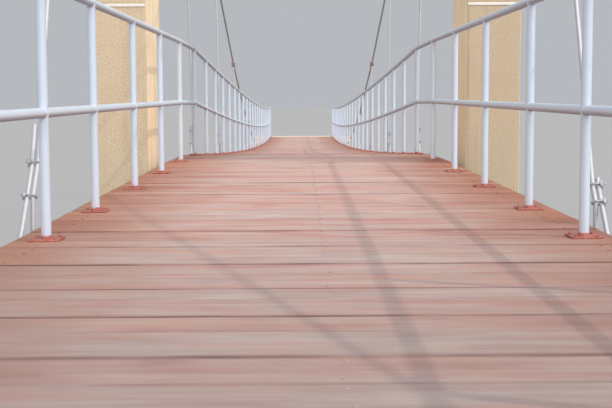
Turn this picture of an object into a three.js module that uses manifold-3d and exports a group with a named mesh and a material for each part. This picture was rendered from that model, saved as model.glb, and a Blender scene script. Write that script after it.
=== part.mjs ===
// Suspension footbridge with one pair of pylons, in millimetres, +Z up.
// +Y runs along the walkway from the near end to the far end, and +X is to the right of a walker.
// The origin is on the ground under the middle of the bridge.
// Places along the bridge are counted in stations, a bay of railing apart; the pylons stand at station 5.

import * as THREE from 'three';
import { mergeVertices } from 'three/addons/utils/BufferGeometryUtils.js';
import Module from 'manifold-3d';

const wasm = await Module();
wasm.setup();

// Driving dimensions along the bridge
const BAY = 1200;
const FIRST_POST = -3;
const LAST_POST = 27;
const PYLON_STATION = 5;
const SHIFTED_POSTS_END = 1;
const POST_SHIFT = 0.19;
const MIDDLE_STATION = 12;
const END_STATIONS = [-4, 28];
const DECK_JOINTS = [-3, 5, 13, 19, 27];
const HANGER_STATIONS = [7, 10, 13, 16, 19];
const NEAR_BEAM_STATION = 1.4;
const CABLE_SEAT_STATION = 22;

// Height of the walkway above the ground: a gentle rise to the pylons, then a sag towards the far end
const CREST_HEIGHT = 2375;
const NEAR_RISE_PER_BAY = 14.5;
const SAG_START = 6;
const SAG_LOW_STATION = 24.6;
const SAG_LOW_HEIGHT = 1808;
const SAG_CURVE = 3.95;
const SAG_POWER = 1.7;

// Deck and its timber frame
const DECK_HALF_WIDTH = 1118;
const PLANK_THICKNESS = 50;
const DECK_END_LAP = 120;
const STRINGER_X = [-1000, 0, 1000];
const STRINGER_WIDTH = 80;
const STRINGER_DEPTH = 140;
const NOGGING_WIDTH = 60;
const NOGGING_DEPTH = 100;
const CROSS_BEAM_WIDTH = 190;
const CROSS_BEAM_DEPTH = 140;
const CROSS_BEAM_HALF_LENGTH = 1200;

// Railing of painted steel pipe
const POST_X = 1000;
const PIPE_RADIUS = 19;
const TOP_RAIL_HEIGHT = 950;
const MID_RAIL_HEIGHT = 470;
const BASE_PLATE_SIZE = 115;
const BASE_PLATE_THICKNESS = 6;
const POST_SIDES = 6;
const RAIL_SIDES = 6;

// Pylons of cast concrete
const PYLON_INNER_X = 1200;
const PYLON_WIDTH = 410;
const PYLON_DEPTH = 750;
const PYLON_X = PYLON_INNER_X + PYLON_WIDTH / 2;
const PLINTH_MARGIN = 75;
const PLINTH_HEIGHT = 450;
const BAND_HEIGHT_ABOVE_DECK = 1195;
const BAND_THICKNESS = 20;
const BAND_PROUD = 6;
const BAND_END_MARGIN = 12;
const TOP_BEAM_DEPTH = 420;
const TOP_BEAM_WIDTH = 320;
const TOP_BEAM_DROP = 260;
const DECK_BEAM_DEPTH = 400;
const DECK_BEAM_WIDTH = 500;

// Main cables, saddles and anchors
const CABLE_RADIUS = 15;
const CABLE_SIDES = 8;
const CABLE_LOW_STATION = 25.5;
const CABLE_LOW_HEIGHT = 1541;
const CABLE_CURVE = 12.6;
const CABLE_X_AT_DECK = 1155;
const CABLE_PLAN_POWER = 12;
const SADDLE_RADIUS = 450;
const SADDLE_BLOCK_HEIGHT = 190;
const SADDLE_HALF_LENGTH = 165;
const SADDLE_PLATE = { width: 300, length: 420, thickness: 20 };
const SADDLE_CHEEK = 12;
const SADDLE_CHEEK_RISE = 4;
const SADDLE_CHEEK_GAP = 1;
const SADDLE_STEPS = 6;
const ARC_PARTS = 4;
const SOCKET_RADIUS = 30;
const SOCKET_LENGTH = 240;
const ANCHOR_PLATE_THICKNESS = 16;
const NEAR_ANCHOR_PLATE = { width: 200, length: 300 };
const FAR_ANCHOR_PLATE = { width: 180, height: 120 };
const LUG_THICKNESS = 24;
const LUG_PAST_EYE = 30;
const LUG_INTO_PLATE = 1;
const NEAR_LUG_LENGTH = 220;
const FAR_LUG_HEIGHT = 90;
const NEAR_EYE_STATION = -3.55;
const EYE_HEIGHT = 86;
const FAR_EYE_DEPTH_BELOW_DECK = 250;
const FAR_EYE_STANDOFF = 86;

// Hangers of wire rope, each looped round the end of a cross beam and closed with two clips
const ROPE_RADIUS = 9.5;
const ROPE_SIDES = 6;
const HANGER_X = 1145;
const NEAR_HANGER_X = 1155;
const NEAR_HANGER_TOP_STATION = 3.6;
const NEAR_HANGER_LEAN = 0.77;
const NEAR_HANGER_SHIFT = 46;
const CLIP_SIZE = { x: 62, y: 34, z: 26 };
const CLAMP_SIZE = { x: 60, y: 70, z: 64 };
const STRAND_GAP = 4;
const LOOP_CORNER = 5.5;
const LOOP_BEND_RISE = 8;
const HIGH_CLIPS = [250, 120];
const LOW_CLIPS = [80];
const SHORT_TAIL = 40;
const NEAR_CLIPS = { left: [256, 126], right: [157, 90] };
const NEAR_TAILS = { left: 190, right: 35 };

// Abutments of cast concrete
const ABUTMENT_HALF_WIDTH = 1640;
const SEAT_LENGTH = 400;
const END_GAP = 10;

// Clearance kept between pieces that touch
const FIT = 0.3;

// Finishes
const concrete = new THREE.MeshStandardMaterial({ color: 0xe2c9a0, roughness: 0.9, metalness: 0 });
const deckBoards = new THREE.MeshStandardMaterial({ color: 0xb08676, roughness: 0.8, metalness: 0 });
const frameTimber = new THREE.MeshStandardMaterial({ color: 0x7d5040, roughness: 0.85, metalness: 0 });
const whitePaint = new THREE.MeshStandardMaterial({ color: 0xe8ecf2, roughness: 0.35, metalness: 0 });
const wireRope = new THREE.MeshStandardMaterial({ color: 0xc9c9c2, roughness: 0.5, metalness: 0.6 });
const steelGrey = new THREE.MeshStandardMaterial({ color: 0x8f9296, roughness: 0.5, metalness: 0.7 });

const bridge = new THREE.Group();

// Shared measures

function along(station) {
  return (station - MIDDLE_STATION) * BAY;
}

function smoothDeckHeight(station) {
  if (station >= SAG_START) {
    return SAG_LOW_HEIGHT + SAG_CURVE * Math.abs(SAG_LOW_STATION - station) ** SAG_POWER;
  }
  return CREST_HEIGHT - NEAR_RISE_PER_BAY * Math.max(0, PYLON_STATION - station);
}

// The boards lie straight between one post and the next, so heights between stations are on a chord
function deckHeight(station) {
  const before = Math.floor(station);
  const part = station - before;
  return smoothDeckHeight(before) * (1 - part) + smoothDeckHeight(before + 1) * part;
}

function deckSlope(station) {
  const reach = 0.08;
  return (deckHeight(station + reach) - deckHeight(station - reach)) / (2 * reach * BAY);
}

// Shared ways of making solids

function asSolid(geometry) {
  const bare = geometry.clone();
  bare.deleteAttribute('normal');
  bare.deleteAttribute('uv');
  const merged = mergeVertices(bare, 1e-3);
  return new wasm.Manifold(new wasm.Mesh({
    numProp: 3,
    vertProperties: new Float32Array(merged.attributes.position.array),
    triVerts: new Uint32Array(merged.index.array),
  }));
}

function asGeometry(manifold) {
  const mesh = manifold.getMesh();
  const geometry = new THREE.BufferGeometry();
  geometry.setAttribute('position', new THREE.BufferAttribute(new Float32Array(mesh.vertProperties), 3));
  geometry.setIndex(new THREE.BufferAttribute(new Uint32Array(mesh.triVerts), 1));
  return geometry;
}

function joined(geometries) {
  return geometries.map(asSolid).reduce((whole, next) => whole.add(next));
}

function addPiece(name, geometry, material) {
  const mesh = new THREE.Mesh(geometry, material);
  mesh.name = name;
  bridge.add(mesh);
  return mesh;
}

function block(sizeX, sizeY, sizeZ, x, y, z) {
  return new THREE.BoxGeometry(sizeX, sizeY, sizeZ).translate(x, y, z);
}

// A side outline in Y and Z, given as [y, z] corners, drawn out across the bridge from x0 to x1
function acrossBridge(outline, x0, x1) {
  const shape = new THREE.Shape(outline.map(([y, z]) => new THREE.Vector2(y, z)));
  const geometry = new THREE.ExtrudeGeometry(shape, { depth: x1 - x0, bevelEnabled: false });
  const turn = new THREE.Matrix4().makeBasis(
    new THREE.Vector3(0, 1, 0), new THREE.Vector3(0, 0, 1), new THREE.Vector3(1, 0, 0));
  return geometry.applyMatrix4(turn).translate(x0, 0, 0);
}

// Follows the walkway between two lengthways places, between two depths below its surface
function deckBand(y0, y1, topDrop, bottomDrop, x0, x1) {
  const stationOf = (y) => y / BAY + MIDDLE_STATION;
  const places = [y0];
  for (let station = Math.ceil(stationOf(y0) + 0.01); station < stationOf(y1) - 0.01; station += 1) {
    places.push(along(station));
  }
  places.push(y1);
  const bottom = places.map((y) => [y, deckHeight(stationOf(y)) - bottomDrop]);
  const top = places.map((y) => [y, deckHeight(stationOf(y)) - topDrop]).reverse();
  return acrossBridge([...bottom, ...top], x0, x1);
}

// A path of straight lengths that turns at given points, for a section to be drawn along
class WayPath extends THREE.Curve {
  constructor(points) {
    super();
    this.points = points;
  }

  getPoint(t) {
    const place = t * (this.points.length - 1);
    const index = Math.min(Math.floor(place), this.points.length - 2);
    return this.points[index].clone().lerp(this.points[index + 1], place - index);
  }

  getPointAt(u) {
    return this.getPoint(u);
  }

  getTangent(t) {
    const index = Math.round(t * (this.points.length - 1));
    const here = this.points[index];
    const before = this.points[index - 1] ?? here;
    const after = this.points[index + 1] ?? here;
    const arriving = here.clone().sub(before).normalize();
    const leaving = after.clone().sub(here).normalize();
    return arriving.add(leaving).normalize();
  }

  getTangentAt(u) {
    return this.getTangent(u);
  }

  getSpacedPoints() {
    return this.points;
  }
}

function roundSection(radius, sides) {
  const corners = [];
  for (let i = 0; i < sides; i += 1) {
    const angle = Math.PI / 2 + (i * 2 * Math.PI) / sides;
    corners.push(new THREE.Vector2(radius * Math.cos(angle), radius * Math.sin(angle)));
  }
  return new THREE.Shape(corners);
}

function roundBar(points, radius, sides) {
  const extrudePath = new WayPath(points);
  return new THREE.ExtrudeGeometry(roundSection(radius, sides), { steps: points.length - 1, extrudePath });
}

const SIDES = [['left', -1], ['right', 1]];

// Abutments: a stepped concrete block at each end, with a seat under the deck and a back wall up to its level

const FRAME_DROP = PLANK_THICKNESS + FIT + STRINGER_DEPTH;

function abutment(endStation, outerStation) {
  const inward = Math.sign(endStation - outerStation);
  const outerY = along(outerStation);
  const wallY = along(endStation) - inward * (DECK_END_LAP + END_GAP);
  const seatY = along(endStation) + inward * SEAT_LENGTH;
  const wallTop = deckHeight(endStation);
  const seatDrop = FRAME_DROP + FIT;
  const seatInner = deckHeight(endStation + (inward * SEAT_LENGTH) / BAY) - seatDrop;
  const seatOuter = deckHeight(endStation - (inward * DECK_END_LAP) / BAY) - seatDrop;
  const outline = [
    [outerY, 0],
    [seatY, 0],
    [seatY, seatInner],
    [wallY, seatOuter],
    [wallY, wallTop],
    [outerY, wallTop],
  ];
  const ordered = inward > 0 ? outline : outline.reverse();
  return acrossBridge(ordered, -ABUTMENT_HALF_WIDTH, ABUTMENT_HALF_WIDTH);
}

addPiece('near_abutment', abutment(FIRST_POST, END_STATIONS[0]), concrete);
addPiece('far_abutment', abutment(LAST_POST, END_STATIONS[1]), concrete);

// Pylons: two concrete legs on plinths, a portal beam near the top, and a beam that carries the deck

function cableHeight(station) {
  return CABLE_LOW_HEIGHT + CABLE_CURVE * (CABLE_LOW_STATION - station) ** 2;
}

const pylonY = along(PYLON_STATION);
const saddleTop = cableHeight(PYLON_STATION);
const legTop = saddleTop - CABLE_RADIUS - SADDLE_BLOCK_HEIGHT;
const bandHeight = deckHeight(PYLON_STATION) + BAND_HEIGHT_ABOVE_DECK;

for (const [side, sign] of SIDES) {
  const leg = joined([
    block(PYLON_WIDTH, PYLON_DEPTH, legTop, sign * PYLON_X, pylonY, legTop / 2),
    block(PYLON_WIDTH + 2 * PLINTH_MARGIN, PYLON_DEPTH + 2 * PLINTH_MARGIN, PLINTH_HEIGHT,
      sign * PYLON_X, pylonY, PLINTH_HEIGHT / 2),
    block(PYLON_WIDTH - 2 * BAND_END_MARGIN, PYLON_DEPTH + 2 * BAND_PROUD, BAND_THICKNESS,
      sign * PYLON_X, pylonY, bandHeight),
  ]);
  addPiece(`pylon_leg_${side}`, asGeometry(leg), concrete);
}

const beamLength = 2 * (PYLON_INNER_X - FIT);
const topBeamZ = legTop - TOP_BEAM_DROP - TOP_BEAM_DEPTH / 2;
addPiece('pylon_top_beam', block(beamLength, TOP_BEAM_WIDTH, TOP_BEAM_DEPTH, 0, pylonY, topBeamZ), concrete);

// Its top falls with the deck, which is a little lower before and after the pylons
const deckBeam = [-1, 1].map((end) => [pylonY + (end * DECK_BEAM_WIDTH) / 2, end]);
const deckBeamTop = ([y]) => [y, deckHeight(y / BAY + MIDDLE_STATION) - FRAME_DROP - FIT];
const deckBeamBottom = deckHeight(PYLON_STATION) - FRAME_DROP - DECK_BEAM_DEPTH;
const deckBeamOutline = [
  [deckBeam[0][0], deckBeamBottom],
  [deckBeam[1][0], deckBeamBottom],
  deckBeamTop(deckBeam[1]),
  [pylonY, deckHeight(PYLON_STATION) - FRAME_DROP - FIT],
  deckBeamTop(deckBeam[0]),
];
addPiece('pylon_deck_beam', acrossBridge(deckBeamOutline, -beamLength / 2, beamLength / 2), concrete);

// Deck: four lengths of boards on four timber frames, jointed over a beam

DECK_JOINTS.slice(1).forEach((endStation, index) => {
  const startStation = DECK_JOINTS[index];
  const y0 = startStation === FIRST_POST ? along(startStation) - DECK_END_LAP : along(startStation) + FIT;
  const y1 = endStation === LAST_POST ? along(endStation) + DECK_END_LAP : along(endStation) - FIT;
  const boards = deckBand(y0, y1, 0, PLANK_THICKNESS, -DECK_HALF_WIDTH, DECK_HALF_WIDTH);
  addPiece(`deck_${index + 1}`, boards, deckBoards);

  const timbers = STRINGER_X.map((x) => deckBand(
    y0, y1, PLANK_THICKNESS + FIT, FRAME_DROP, x - STRINGER_WIDTH / 2, x + STRINGER_WIDTH / 2));
  for (let station = startStation + 1; station < endStation; station += 2) {
    const z = deckHeight(station) - PLANK_THICKNESS - STRINGER_DEPTH / 2;
    timbers.push(block(2 * POST_X, NOGGING_WIDTH, NOGGING_DEPTH, 0, along(station), z));
  }
  addPiece(`deck_frame_${index + 1}`, asGeometry(joined(timbers)), frameTimber);
});

// Cross beams: they lie under the frames, and their ends stand out past the deck for the hangers

function crossBeamCentre(station) {
  const angle = Math.atan(deckSlope(station));
  const drop = FRAME_DROP + FIT + CROSS_BEAM_DEPTH / 2 / Math.cos(angle);
  return { angle, y: along(station), z: deckHeight(station) - drop };
}

// A place beside a cross beam, measured along and up in the beam's own tilted section
function besideBeam(station, forward, up, x) {
  const { angle, y, z } = crossBeamCentre(station);
  return new THREE.Vector3(
    x,
    y + forward * Math.cos(angle) - up * Math.sin(angle),
    z + forward * Math.sin(angle) + up * Math.cos(angle),
  );
}

const beamStations = [NEAR_BEAM_STATION, ...HANGER_STATIONS, CABLE_SEAT_STATION];
beamStations.forEach((station, index) => {
  const { angle, y, z } = crossBeamCentre(station);
  const beam = new THREE.BoxGeometry(2 * CROSS_BEAM_HALF_LENGTH, CROSS_BEAM_WIDTH, CROSS_BEAM_DEPTH);
  beam.rotateX(angle).translate(0, y, z);
  addPiece(`cross_beam_${index + 1}`, beam, frameTimber);
});

// Railings: on each side four lengths of pipe rail with the posts and base plates welded on

// The posts of the first lengths stand a little nearer the pylons than the even spacing of the rest
function postPlace(station) {
  return station <= SHIFTED_POSTS_END ? station + POST_SHIFT : station;
}

function postParts(sign, station) {
  const deck = deckHeight(station);
  const slope = Math.atan(deckSlope(station));
  const height = TOP_RAIL_HEIGHT - FIT - BASE_PLATE_THICKNESS / 2;
  const foot = deck + FIT + BASE_PLATE_THICKNESS / 2;
  const post = new THREE.CylinderGeometry(PIPE_RADIUS, PIPE_RADIUS, height, POST_SIDES).rotateX(Math.PI / 2);
  post.translate(sign * POST_X, along(station), foot + height / 2);
  const plate = new THREE.BoxGeometry(BASE_PLATE_SIZE, BASE_PLATE_SIZE, BASE_PLATE_THICKNESS);
  plate.rotateX(slope).translate(sign * POST_X, along(station), foot);
  return [post, plate];
}

function railAt(sign, stations, height) {
  const points = stations.map((station) => new THREE.Vector3(
    sign * POST_X, along(station), deckHeight(station) + height));
  return roundBar(points, PIPE_RADIUS, RAIL_SIDES);
}

for (const [side, sign] of SIDES) {
  DECK_JOINTS.slice(1).forEach((endStation, index) => {
    const first = DECK_JOINTS[index];
    const isLast = endStation === LAST_POST;
    const posts = [];
    for (let station = first; station < endStation + (isLast ? 1 : 0); station += 1) {
      posts.push(postPlace(station));
    }
    const buttGap = FIT / BAY;
    const start = first === FIRST_POST ? posts[0] : first - 0.5 + buttGap;
    const end = isLast ? endStation : endStation - 0.5 - buttGap;
    const railStations = [start, ...posts.filter((station) => station > start && station < end), end];
    const railing = joined([
      railAt(sign, railStations, TOP_RAIL_HEIGHT),
      railAt(sign, railStations, MID_RAIL_HEIGHT),
      ...posts.flatMap((station) => postParts(sign, station)),
    ]);
    addPiece(`railing_${side}_${index + 1}`, asGeometry(railing), whitePaint);
  });
}

// Main cables: each runs in one length from its near anchor, over the saddle, to its far anchor

function cableX(station) {
  const part = Math.max(0, (CABLE_SEAT_STATION - station) / (CABLE_SEAT_STATION - PYLON_STATION));
  return CABLE_X_AT_DECK + (PYLON_X - CABLE_X_AT_DECK) * part ** CABLE_PLAN_POWER;
}

function cablePoint(sign, station) {
  return new THREE.Vector3(sign * cableX(station), along(station), cableHeight(station));
}

const nearEye = {
  x: PYLON_X,
  y: along(NEAR_EYE_STATION),
  z: deckHeight(FIRST_POST) + EYE_HEIGHT,
};
const farFaceY = along(LAST_POST) - SEAT_LENGTH;
const farEye = {
  x: CABLE_X_AT_DECK,
  y: farFaceY - FAR_EYE_STANDOFF,
  z: deckHeight(LAST_POST) - FAR_EYE_DEPTH_BELOW_DECK,
};

// Points of the cable on the saddle's arc, from the side of the near anchor to the side of the far anchor
const apexY = pylonY;
const nearAngle = Math.atan2(saddleTop - nearEye.z, apexY - nearEye.y);
const farAngle = Math.atan2(saddleTop - cableHeight(HANGER_STATIONS[0]), along(HANGER_STATIONS[0]) - apexY);

function saddlePoints(sign, radius, x) {
  const points = [];
  for (let i = 0; i <= ARC_PARTS; i += 1) {
    const angle = -nearAngle + ((nearAngle + farAngle) * i) / ARC_PARTS;
    points.push(new THREE.Vector3(
      sign * x,
      apexY + radius * Math.sin(angle),
      saddleTop - SADDLE_RADIUS + radius * Math.cos(angle),
    ));
  }
  return points;
}

function cableRoute(sign) {
  const eyeNear = new THREE.Vector3(sign * nearEye.x, nearEye.y, nearEye.z);
  const eyeFar = new THREE.Vector3(sign * farEye.x, farEye.y, farEye.z);
  const arc = saddlePoints(sign, SADDLE_RADIUS, PYLON_X);
  const hung = [...HANGER_STATIONS, CABLE_SEAT_STATION].map((station) => cablePoint(sign, station));
  const pastSocket = SOCKET_LENGTH + FIT;
  const towards = (from, to) => to.clone().sub(from).normalize().multiplyScalar(pastSocket).add(from);
  return [towards(eyeNear, arc[0]), ...arc, ...hung, towards(eyeFar, hung[hung.length - 1])];
}

// The room that the cable takes in a piece that grips it
function cableBore(sign) {
  return asSolid(roundBar(cableRoute(sign), CABLE_RADIUS + FIT, CABLE_SIDES));
}

for (const [side, sign] of SIDES) {
  addPiece(`main_cable_${side}`, roundBar(cableRoute(sign), CABLE_RADIUS, CABLE_SIDES), wireRope);
}

// Saddles: a steel plate on each leg, with a curved web under the cable and a cheek on each side of it

function saddleWeb(sign, radius, x0, x1) {
  const foot = legTop + FIT + SADDLE_PLATE.thickness / 2;
  const reach = SADDLE_HALF_LENGTH;
  const outline = [[apexY - reach, foot], [apexY + reach, foot]];
  for (let i = 0; i <= SADDLE_STEPS; i += 1) {
    const y = reach - (2 * reach * i) / SADDLE_STEPS;
    outline.push([apexY + y, saddleTop - SADDLE_RADIUS + Math.sqrt(radius ** 2 - y ** 2)]);
  }
  return acrossBridge(outline, Math.min(sign * x0, sign * x1), Math.max(sign * x0, sign * x1));
}

for (const [side, sign] of SIDES) {
  const inner = CABLE_RADIUS + SADDLE_CHEEK_GAP;
  const webHalf = inner + SADDLE_CHEEK / 2;
  const cheekRadius = SADDLE_RADIUS + SADDLE_CHEEK_RISE;
  const { width, length, thickness } = SADDLE_PLATE;
  const saddle = joined([
    block(width, length, thickness, sign * PYLON_X, pylonY, legTop + FIT + thickness / 2),
    saddleWeb(sign, SADDLE_RADIUS - CABLE_RADIUS / 2, PYLON_X - webHalf, PYLON_X + webHalf),
    saddleWeb(sign, cheekRadius, PYLON_X + inner, PYLON_X + inner + SADDLE_CHEEK),
    saddleWeb(sign, cheekRadius, PYLON_X - inner - SADDLE_CHEEK, PYLON_X - inner),
  ]);
  addPiece(`cable_saddle_${side}`, asGeometry(saddle.subtract(cableBore(sign))), steelGrey);
}

// Anchors: a plate bolted to the concrete, a lug, and the socket that grips the end of the cable

function anchor(sign, eye, cableEnd, plate, lug) {
  const eyePoint = new THREE.Vector3(sign * eye.x, eye.y, eye.z);
  const socket = roundBar([eyePoint, cableEnd], SOCKET_RADIUS, CABLE_SIDES);
  return asGeometry(joined([plate, lug, socket]));
}

for (const [side, sign] of SIDES) {
  const route = cableRoute(sign);
  const direction = (from, to) => to.clone().sub(from).normalize().multiplyScalar(-FIT);
  const nearEnd = route[0].clone().add(direction(route[0], route[1]));
  const last = route.length - 1;
  const farEnd = route[last].clone().add(direction(route[last], route[last - 1]));

  const plateSeat = deckHeight(FIRST_POST) + FIT;
  const nearPlate = block(NEAR_ANCHOR_PLATE.width, NEAR_ANCHOR_PLATE.length, ANCHOR_PLATE_THICKNESS,
    sign * nearEye.x, nearEye.y, plateSeat + ANCHOR_PLATE_THICKNESS / 2);
  const nearLugHeight = EYE_HEIGHT + LUG_PAST_EYE;
  const nearLug = block(LUG_THICKNESS, NEAR_LUG_LENGTH, nearLugHeight,
    sign * nearEye.x, nearEye.y, plateSeat + LUG_INTO_PLATE + nearLugHeight / 2);
  addPiece(`near_anchor_${side}`, anchor(sign, nearEye, nearEnd, nearPlate, nearLug), steelGrey);

  const farSeat = farFaceY - FIT;
  const farPlate = block(FAR_ANCHOR_PLATE.width, ANCHOR_PLATE_THICKNESS, FAR_ANCHOR_PLATE.height,
    sign * farEye.x, farSeat - ANCHOR_PLATE_THICKNESS / 2, farEye.z);
  const farLugLength = FAR_EYE_STANDOFF + LUG_PAST_EYE;
  const farLug = block(LUG_THICKNESS, farLugLength, FAR_LUG_HEIGHT,
    sign * farEye.x, farSeat - LUG_INTO_PLATE - farLugLength / 2, farEye.z);
  addPiece(`far_anchor_${side}`, anchor(sign, farEye, farEnd, farPlate, farLug), steelGrey);
}

// Hangers: a wire rope clamped to the cable, doubled round the end of a cross beam

// Where a straight line between two cable points passes a given lengthways place
function pointOnLine(from, to, y) {
  return from.clone().lerp(to, (y - from.y) / (to.y - from.y));
}

// The two strands run side by side across the bridge through the clips; below them the inner strand passes
// the far face of the beam and the outer strand its near face. The outer strand ends above the upper clip.
function hanger(sign, station, top, middleX, clipHeights, tailLength, lean, shift) {
  const deck = deckHeight(station);
  const half = CROSS_BEAM_WIDTH / 2 + ROPE_RADIUS + FIT;
  const low = CROSS_BEAM_DEPTH / 2 + ROPE_RADIUS + FIT;
  const bend = CROSS_BEAM_DEPTH / 2 + LOOP_BEND_RISE;
  const strand = ROPE_RADIUS + STRAND_GAP / 2;
  const inner = sign * (middleX - strand);
  const outer = sign * (middleX + strand);
  const atHeight = (height, x) => new THREE.Vector3(
    x, along(station) + shift + lean * height, deck + height);
  const highest = Math.max(...clipHeights);
  const lowest = Math.min(...clipHeights);
  const above = top.clone().sub(atHeight(highest, inner)).normalize().multiplyScalar(tailLength);
  const route = [
    top,
    atHeight(highest, inner),
    atHeight(lowest, inner),
    besideBeam(station, half, bend, inner),
    besideBeam(station, half, LOOP_CORNER - low, inner),
    besideBeam(station, half - LOOP_CORNER, -low, inner),
    besideBeam(station, LOOP_CORNER - half, -low, outer),
    besideBeam(station, -half, LOOP_CORNER - low, outer),
    besideBeam(station, -half, bend, outer),
    atHeight(lowest, outer),
    atHeight(highest, outer),
    atHeight(highest, outer).add(above),
  ];
  const clips = clipHeights.map((height) => {
    const place = atHeight(height, sign * middleX);
    return block(CLIP_SIZE.x, CLIP_SIZE.y, CLIP_SIZE.z, place.x, place.y, place.z);
  });
  const clamp = block(CLAMP_SIZE.x, CLAMP_SIZE.y, CLAMP_SIZE.z, top.x, top.y, top.z);
  const rope = roundBar(route, ROPE_RADIUS, ROPE_SIDES);
  return asGeometry(joined([rope, ...clips, clamp]).subtract(cableBore(sign)));
}

for (const [side, sign] of SIDES) {
  const route = cableRoute(sign);
  const nearTop = pointOnLine(route[0], route[1], along(NEAR_HANGER_TOP_STATION));
  const near = hanger(sign, NEAR_BEAM_STATION, nearTop, NEAR_HANGER_X, NEAR_CLIPS[side],
    NEAR_TAILS[side], NEAR_HANGER_LEAN, NEAR_HANGER_SHIFT);
  addPiece(`hanger_${side}_1`, near, wireRope);
  HANGER_STATIONS.forEach((station, index) => {
    const top = cablePoint(sign, station);
    const room = top.z - deckHeight(station);
    const clips = room > 2 * HIGH_CLIPS[0] ? HIGH_CLIPS : LOW_CLIPS;
    const upright = hanger(sign, station, top, HANGER_X, clips, SHORT_TAIL, 0, 0);
    addPiece(`hanger_${side}_${index + 2}`, upright, wireRope);
  });
}

// Cable seats: where the cable has come down to the deck, a clamp holds it on the end of the last cross beam

for (const [side, sign] of SIDES) {
  const top = cablePoint(sign, CABLE_SEAT_STATION);
  const seat = besideBeam(CABLE_SEAT_STATION, 0, CROSS_BEAM_DEPTH / 2 + FIT, top.x);
  const height = top.z + CLAMP_SIZE.z / 2 - seat.z;
  const shape = new THREE.BoxGeometry(CLAMP_SIZE.x, CLAMP_SIZE.y, height).translate(0, 0, height / 2);
  shape.rotateX(Math.atan(deckSlope(CABLE_SEAT_STATION))).translate(seat.x, seat.y, seat.z);
  addPiece(`cable_seat_${side}`, asGeometry(asSolid(shape).subtract(cableBore(sign))), steelGrey);
}

export default bridge;
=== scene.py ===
"""Finished looks of a suspension footbridge, in metres, +Z up and +Y along the walkway."""
import functools
import math
import random

import bmesh
import bpy
from mathutils import Matrix, Vector


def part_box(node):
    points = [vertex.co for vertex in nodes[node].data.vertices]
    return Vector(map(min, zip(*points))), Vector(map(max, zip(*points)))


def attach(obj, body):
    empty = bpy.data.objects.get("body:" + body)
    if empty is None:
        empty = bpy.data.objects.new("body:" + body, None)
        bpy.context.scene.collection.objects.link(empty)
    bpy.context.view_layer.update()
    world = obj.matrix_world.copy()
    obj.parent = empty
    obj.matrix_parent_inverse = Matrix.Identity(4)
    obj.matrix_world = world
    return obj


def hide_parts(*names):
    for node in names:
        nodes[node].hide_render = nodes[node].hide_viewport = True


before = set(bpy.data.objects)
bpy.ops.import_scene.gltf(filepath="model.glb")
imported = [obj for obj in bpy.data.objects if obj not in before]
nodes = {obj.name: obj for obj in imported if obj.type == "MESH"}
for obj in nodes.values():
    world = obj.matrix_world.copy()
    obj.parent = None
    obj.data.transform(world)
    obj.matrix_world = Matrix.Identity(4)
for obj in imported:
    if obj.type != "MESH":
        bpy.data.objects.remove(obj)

scene = bpy.context.scene
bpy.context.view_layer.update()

# Camera: it kneels on the walkway, half a metre over the boards and a little left of the middle, and looks
# along it and slightly down through a short telephoto lens. The whole picture is turned a hair.

CAMERA_PLACE = Vector((-0.057, -16.964, 2.809))
CAMERA_DOWN, CAMERA_RIGHT, CAMERA_ROLL = (math.radians(angle) for angle in (5.168, 0.319, 0.289))
LENS_MM = 63.52
SENSOR_MM = 36


def placed(name, data):
    """An object of this name in the scene, which shows this data."""
    made = bpy.data.objects.new(name, data)
    scene.collection.objects.link(made)
    return made


lens = bpy.data.cameras.new("camera")
lens.lens = LENS_MM
lens.sensor_width = SENSOR_MM
lens.sensor_fit = "HORIZONTAL"
lens.clip_start = 0.05
lens.clip_end = 3000
camera = placed("camera", lens)
camera.matrix_world = (
    Matrix.Translation(CAMERA_PLACE)
    @ Matrix.Rotation(-CAMERA_RIGHT, 4, "Z")
    @ Matrix.Rotation(math.pi / 2 - CAMERA_DOWN, 4, "X")
    @ Matrix.Rotation(-CAMERA_ROLL, 4, "Z")
)
scene.camera = camera

# Floor and light: a plain pale floor under the feet of the bridge, an even pale surround, a soft lamp high
# on the right and a very wide one over the camera. Both are far away, so that their rays are parallel.

FLOOR_HALF = 2000
FLOOR_DROP = 0.001
SURROUND_STRENGTH = 0.9
# Each lamp: its name, the way its light goes, its strength, its width in degrees and its colour
LAMPS = (
    ("soft_lamp", Vector((-0.865, 0.33, -1.0)), 0.98, 0.8, "#FFF1E2"),
    ("fill_lamp", Vector((-0.28, 0.76, -0.60)), 2.65, 100, "#F6F7FF"),
)


def linear(colour):
    """An sRGB hex colour as the linear colour that shaders work in."""
    parts = [int(colour[i:i + 2], 16) / 255 for i in (1, 3, 5)]
    return (*(p / 12.92 if p <= 0.04045 else ((p + 0.055) / 1.055) ** 2.4 for p in parts), 1.0)


def add_node(tree, kind, inputs=None, out=0, stops=(), **settings):
    """Adds one node to a tree, with its settings. It gives the first output, the one asked for or, for None,
    all. An input is a value or an output to link to, under its name or in the order of a tuple. A colour
    ramp's stops are places and colours."""
    if isinstance(inputs, tuple):
        inputs = dict(enumerate(inputs))
    node = tree.nodes.new(kind)
    for name, value in settings.items():
        setattr(node, name, value)
    for name, value in (inputs or {}).items():
        if isinstance(value, bpy.types.NodeSocket):
            tree.links.new(value, node.inputs[name])
        else:
            node.inputs[name].default_value = value
    if stops:
        points = node.color_ramp.elements
        points[0].position, points[-1].position = stops[0][0], stops[-1][0]
        for place, _ in stops[1:-1]:
            points.new(place)
        for point, (_, colour) in zip(points, stops):
            point.color = linear(colour)
    return node.outputs if out is None else node.outputs[out]


def new_material(name, **plain):
    """A material with one shader, whose values that are the same all over are set on its own sockets. With
    it come the function that adds nodes to it, and the place on the object in metres."""
    material = bpy.data.materials.new(name)
    material.use_nodes = True
    for socket, value in plain.items():
        material.node_tree.nodes["Principled BSDF"].inputs[socket].default_value = value
    add = functools.partial(add_node, material.node_tree)
    return material, add, add("ShaderNodeTexCoord", out="Object")


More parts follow.
